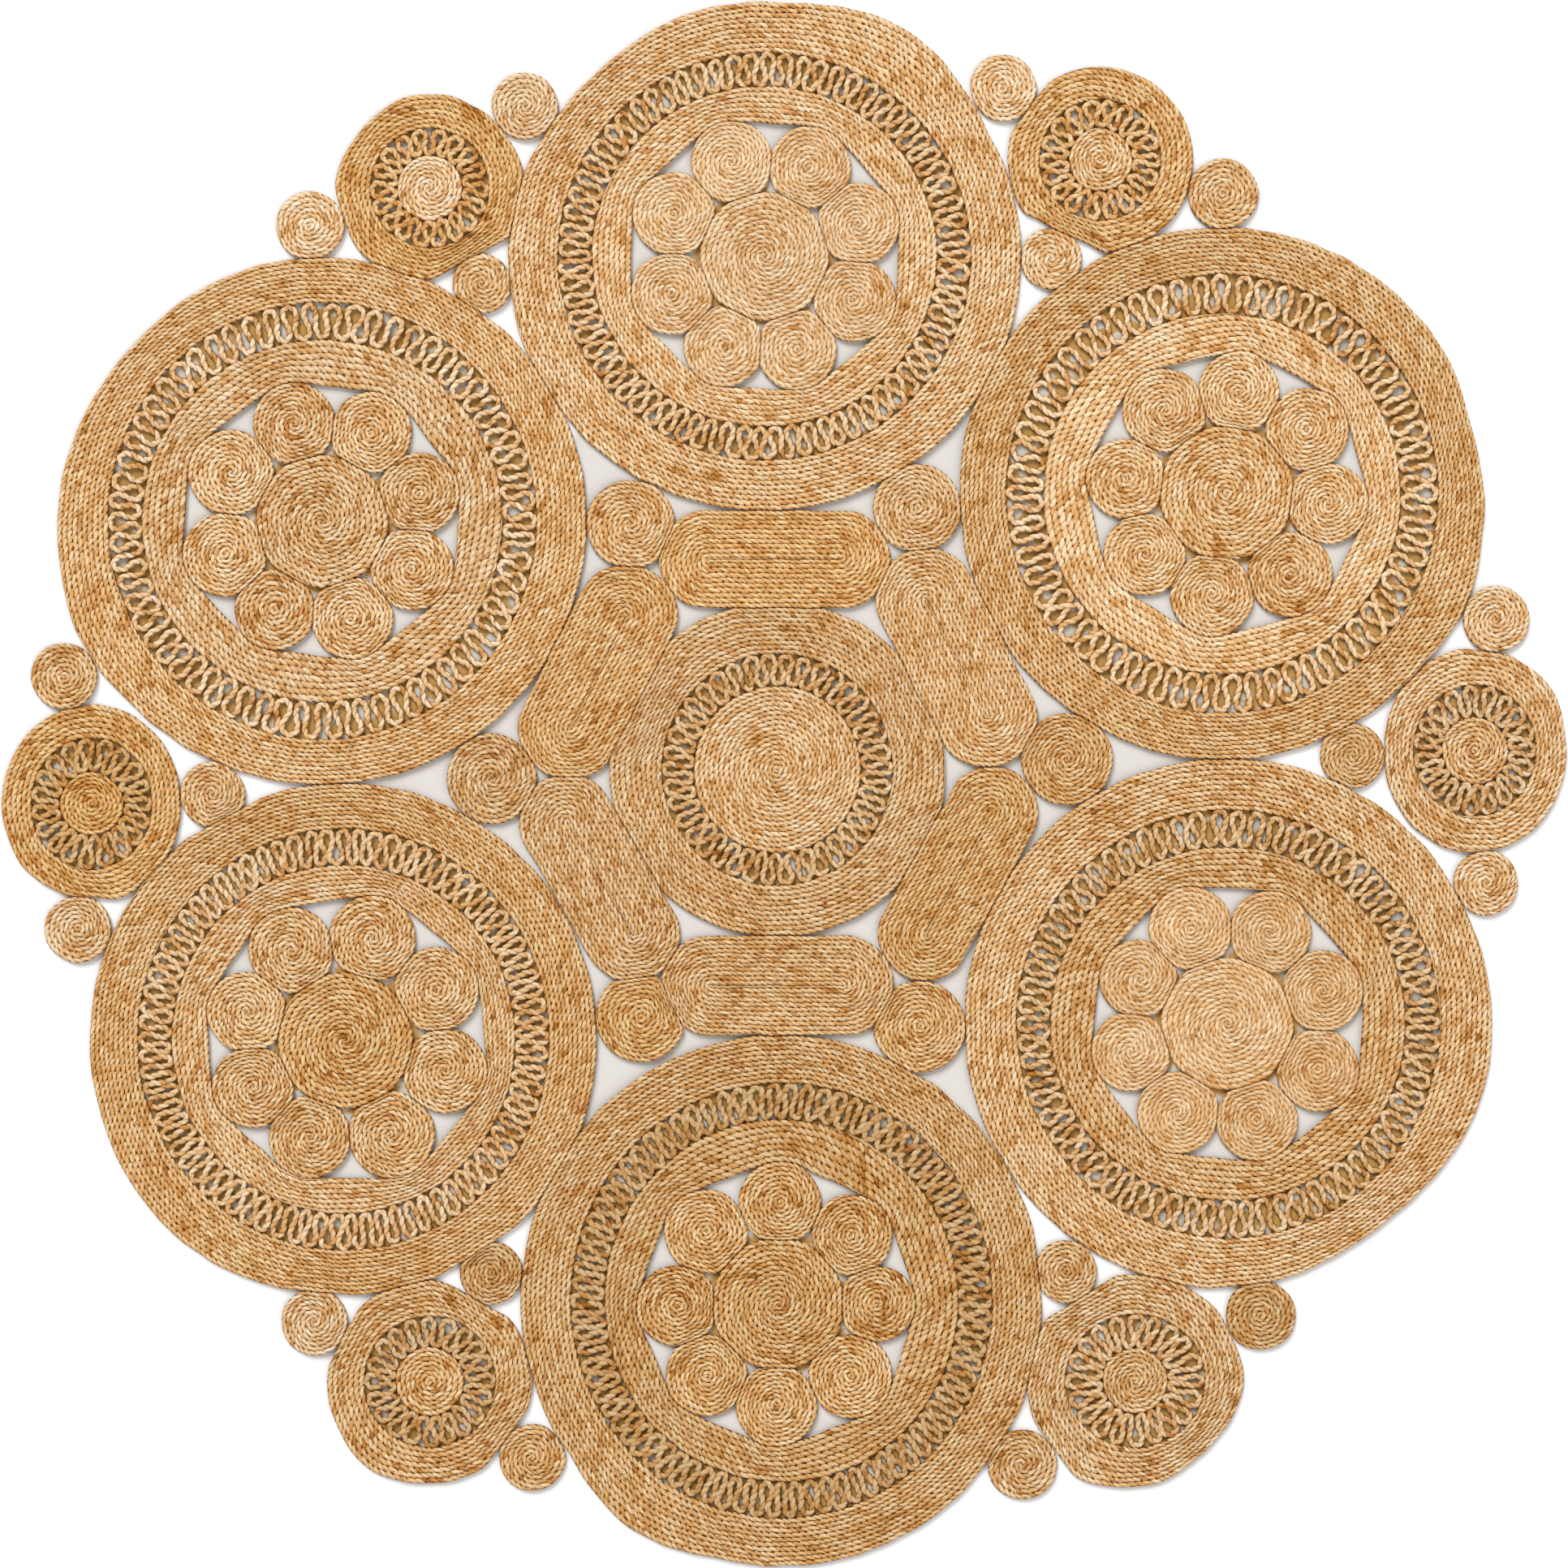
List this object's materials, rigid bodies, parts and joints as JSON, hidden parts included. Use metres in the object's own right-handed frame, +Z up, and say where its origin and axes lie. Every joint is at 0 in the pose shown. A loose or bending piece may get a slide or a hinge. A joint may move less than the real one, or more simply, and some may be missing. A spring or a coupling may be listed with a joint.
{
  "type": "round jute rug",
  "caption": "Round flat rug of natural jute cord wound and sewn in coils: petalled medallions in a ring, rosettes in a scalloped rim, long ovals round a centre medallion.",
  "frame": {"origin": "centre of the rug's outline, on the floor side", "axes": "+Z up from the underside to the top, +Y towards the north medallion at the picture's top edge, +X to the picture's right"},
  "size_m": [1.8317, 1.832, 0.008],
  "materials": {
    "centre_band": "matt twisted natural jute cord",
    "centre_coil": "matt twisted natural jute cord",
    "centre_loop_ring": "matt twisted natural jute cord",
    "gap_coil_east": "matt twisted natural jute cord",
    "gap_coil_north_northeast": "matt twisted natural jute cord",
    "gap_coil_north_northwest": "matt twisted natural jute cord",
    "gap_coil_south_southeast": "matt twisted natural jute cord",
    "gap_coil_south_southwest": "matt twisted natural jute cord",
    "gap_coil_west": "matt twisted natural jute cord",
    "medallion_north_border": "matt twisted natural jute cord",
    "medallion_north_core": "matt twisted natural jute cord",
    "medallion_north_inner_band": "matt twisted natural jute cord",
    "medallion_north_loop_ring": "matt twisted natural jute cord",
    "medallion_north_petals": "matt twisted natural jute cord",
    "medallion_northeast_border": "matt twisted natural jute cord",
    "medallion_northeast_core": "matt twisted natural jute cord",
    "medallion_northeast_inner_band": "matt twisted natural jute cord",
    "medallion_northeast_loop_ring": "matt twisted natural jute cord",
    "medallion_northeast_petals": "matt twisted natural jute cord",
    "medallion_northwest_border": "matt twisted natural jute cord",
    "medallion_northwest_core": "matt twisted natural jute cord",
    "medallion_northwest_inner_band": "matt twisted natural jute cord",
    "medallion_northwest_loop_ring": "matt twisted natural jute cord",
    "medallion_northwest_petals": "matt twisted natural jute cord",
    "medallion_south_border": "matt twisted natural jute cord",
    "medallion_south_core": "matt twisted natural jute cord",
    "medallion_south_inner_band": "matt twisted natural jute cord",
    "medallion_south_loop_ring": "matt twisted natural jute cord",
    "medallion_south_petals": "matt twisted natural jute cord",
    "medallion_southeast_border": "matt twisted natural jute cord",
    "medallion_southeast_core": "matt twisted natural jute cord",
    "medallion_southeast_inner_band": "matt twisted natural jute cord",
    "medallion_southeast_loop_ring": "matt twisted natural jute cord",
    "medallion_southeast_petals": "matt twisted natural jute cord",
    "medallion_southwest_border": "matt twisted natural jute cord",
    "medallion_southwest_core": "matt twisted natural jute cord",
    "medallion_southwest_inner_band": "matt twisted natural jute cord",
    "medallion_southwest_loop_ring": "matt twisted natural jute cord",
    "medallion_southwest_petals": "matt twisted natural jute cord",
    "oval_north": "matt twisted natural jute cord",
    "oval_northeast": "matt twisted natural jute cord",
    "oval_northwest": "matt twisted natural jute cord",
    "oval_south": "matt twisted natural jute cord",
    "oval_southeast": "matt twisted natural jute cord",
    "oval_southwest": "matt twisted natural jute cord",
    "rosette_east_band": "matt twisted natural jute cord",
    "rosette_east_core": "matt twisted natural jute cord",
    "rosette_north_northeast_band": "matt twisted natural jute cord",
    "rosette_north_northeast_core": "matt twisted natural jute cord",
    "rosette_north_northwest_band": "matt twisted natural jute cord",
    "rosette_north_northwest_core": "matt twisted natural jute cord",
    "rosette_south_southeast_band": "matt twisted natural jute cord",
    "rosette_south_southeast_core": "matt twisted natural jute cord",
    "rosette_south_southwest_band": "matt twisted natural jute cord",
    "rosette_south_southwest_core": "matt twisted natural jute cord",
    "rosette_west_band": "matt twisted natural jute cord",
    "rosette_west_core": "matt twisted natural jute cord"
  },
  "bodies": {
    "root": {"centre_band": "centre_band", "centre_coil": "centre_coil", "centre_loop_ring": "centre_loop_ring", "gap_coil_east": "gap_coil_east", "gap_coil_north_northeast": "gap_coil_north_northeast", "gap_coil_north_northwest": "gap_coil_north_northwest", "gap_coil_south_southeast": "gap_coil_south_southeast", "gap_coil_south_southwest": "gap_coil_south_southwest", "gap_coil_west": "gap_coil_west", "medallion_north_border": "medallion_north_border", "medallion_north_core": "medallion_north_core", "medallion_north_inner_band": "medallion_north_inner_band", "medallion_north_loop_ring": "medallion_north_loop_ring", "medallion_north_petals": "medallion_north_petals", "medallion_northeast_border": "medallion_northeast_border", "medallion_northeast_core": "medallion_northeast_core", "medallion_northeast_inner_band": "medallion_northeast_inner_band", "medallion_northeast_loop_ring": "medallion_northeast_loop_ring", "medallion_northeast_petals": "medallion_northeast_petals", "medallion_northwest_border": "medallion_northwest_border", "medallion_northwest_core": "medallion_northwest_core", "medallion_northwest_inner_band": "medallion_northwest_inner_band", "medallion_northwest_loop_ring": "medallion_northwest_loop_ring", "medallion_northwest_petals": "medallion_northwest_petals", "medallion_south_border": "medallion_south_border", "medallion_south_core": "medallion_south_core", "medallion_south_inner_band": "medallion_south_inner_band", "medallion_south_loop_ring": "medallion_south_loop_ring", "medallion_south_petals": "medallion_south_petals", "medallion_southeast_border": "medallion_southeast_border", "medallion_southeast_core": "medallion_southeast_core", "medallion_southeast_inner_band": "medallion_southeast_inner_band", "medallion_southeast_loop_ring": "medallion_southeast_loop_ring", "medallion_southeast_petals": "medallion_southeast_petals", "medallion_southwest_border": "medallion_southwest_border", "medallion_southwest_core": "medallion_southwest_core", "medallion_southwest_inner_band": "medallion_southwest_inner_band", "medallion_southwest_loop_ring": "medallion_southwest_loop_ring", "medallion_southwest_petals": "medallion_southwest_petals", "oval_north": "oval_north", "oval_northeast": "oval_northeast", "oval_northwest": "oval_northwest", "oval_south": "oval_south", "oval_southeast": "oval_southeast", "oval_southwest": "oval_southwest", "rosette_east_band": "rosette_east_band", "rosette_east_core": "rosette_east_core", "rosette_north_northeast_band": "rosette_north_northeast_band", "rosette_north_northeast_core": "rosette_north_northeast_core", "rosette_north_northwest_band": "rosette_north_northwest_band", "rosette_north_northwest_core": "rosette_north_northwest_core", "rosette_south_southeast_band": "rosette_south_southeast_band", "rosette_south_southeast_core": "rosette_south_southeast_core", "rosette_south_southwest_band": "rosette_south_southwest_band", "rosette_south_southwest_core": "rosette_south_southwest_core", "rosette_west_band": "rosette_west_band", "rosette_west_core": "rosette_west_core"}
  },
  "joints": []
}
